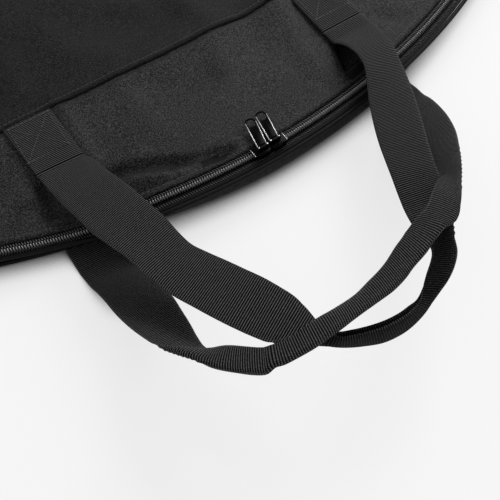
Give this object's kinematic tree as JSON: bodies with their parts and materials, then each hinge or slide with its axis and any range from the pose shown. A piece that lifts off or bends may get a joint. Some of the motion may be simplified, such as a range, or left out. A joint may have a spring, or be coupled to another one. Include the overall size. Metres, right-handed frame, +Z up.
{
  "type": "bike wheel bag",
  "caption": "Flat round cloth bag for a bicycle wheel, zipped round the rim, with webbing carry handles sewn to both faces.",
  "frame": {"origin": "middle of the round bag, on the outer face of the back panel that it rests on", "axes": "+Z up out of the front panel, -Y towards the handles, +X to the right with the handles nearest"},
  "size_m": [0.8028, 0.9105, 0.0622],
  "materials": {
    "shell_cloth": "black polyester oxford cloth, matte",
    "webbing": "black ribbed polypropylene webbing, 25 mm",
    "zip_tape": "black woven zip tape and bias binding",
    "zip_coil": "black nylon coil teeth, glossy",
    "slider_metal": "dark painted die-cast zinc",
    "bright_metal": "polished nickel-plated steel"
  },
  "bodies": {
    "base": {"back_main_panel": "shell_cloth", "back_yoke_panel": "shell_cloth", "back_seam_binding": "zip_tape", "gusset_left_strip": "shell_cloth", "gusset_right_strip": "shell_cloth", "gusset_rear_strip": "shell_cloth", "back_piping": "shell_cloth", "front_piping": "shell_cloth", "back_handle_anchor_left": "webbing", "back_handle_anchor_right": "webbing", "front_tail_panel": "shell_cloth", "tail_seam_binding": "zip_tape", "zipper_tape_outer": "zip_tape", "zipper_coil_outer": "zip_coil", "zip_end_tab_left": "zip_tape", "zip_end_tab_right": "zip_tape"},
    "front_cover": {"front_main_panel": "shell_cloth", "front_yoke_panel": "shell_cloth", "front_seam_binding_left": "zip_tape", "front_seam_binding_right": "zip_tape", "zipper_tape_inner": "zip_tape", "zipper_coil_inner": "zip_coil", "front_handle_anchor_left": "webbing", "front_handle_anchor_right": "webbing"},
    "slider_left": {"slider_left_body": "slider_metal", "slider_left_crown": "bright_metal"},
    "slider_right": {"slider_right_body": "slider_metal", "slider_right_crown": "bright_metal"},
    "pull_left": {"slider_left_pull": "slider_metal"},
    "pull_right": {"slider_right_pull": "slider_metal"},
    "front_handle": {"front_handle_loop": "webbing"},
    "back_handle": {"back_handle_loop": "webbing"}
  },
  "joints": [
    {"name": "cover_open", "type": "hinge", "parent": "base", "child": "front_cover", "pos_m": [0, 0.19675, 0.02035], "axis": [-1, 0, 0], "range_deg": [0, 165], "deforming": ["zipper_tape_outer", "zipper_coil_outer", "front_handle_loop", "back_handle_loop"]},
    {"name": "slider_left_travel", "type": "hinge", "parent": "front_cover", "child": "slider_left", "pos_m": [0, 0, 0.0184], "axis": [0, 0, -1], "range_deg": [0, 115.5]},
    {"name": "slider_right_travel", "type": "hinge", "parent": "front_cover", "child": "slider_right", "pos_m": [0, 0, 0.0184], "axis": [0, 0, 1], "range_deg": [0, 114]},
    {"name": "pull_left_flip", "type": "hinge", "parent": "slider_left", "child": "pull_left", "pos_m": [0.00075, -0.3935, 0.0216], "axis": [0.9785, -0.206, 0], "range_deg": [0, 150]},
    {"name": "pull_right_flip", "type": "hinge", "parent": "slider_right", "child": "pull_right", "pos_m": [0.01045, -0.39336, 0.0216], "axis": [0.9833, -0.1819, 0], "range_deg": [0, 150]},
    {"name": "back_handle_swing", "type": "hinge", "parent": "base", "child": "back_handle", "pos_m": [0, -0.39664, 0.00105], "axis": [-1, 0, 0], "range_deg": [0, 60]},
    {"name": "front_handle_swing", "type": "hinge", "parent": "front_cover", "child": "front_handle", "pos_m": [0, -0.3515, 0.01975], "axis": [-1, 0, 0], "range_deg": [0, 60]}
  ],
  "couplings": [
    {"joint": "front_handle_swing", "follows": "back_handle_swing", "ratio": 1}
  ]
}
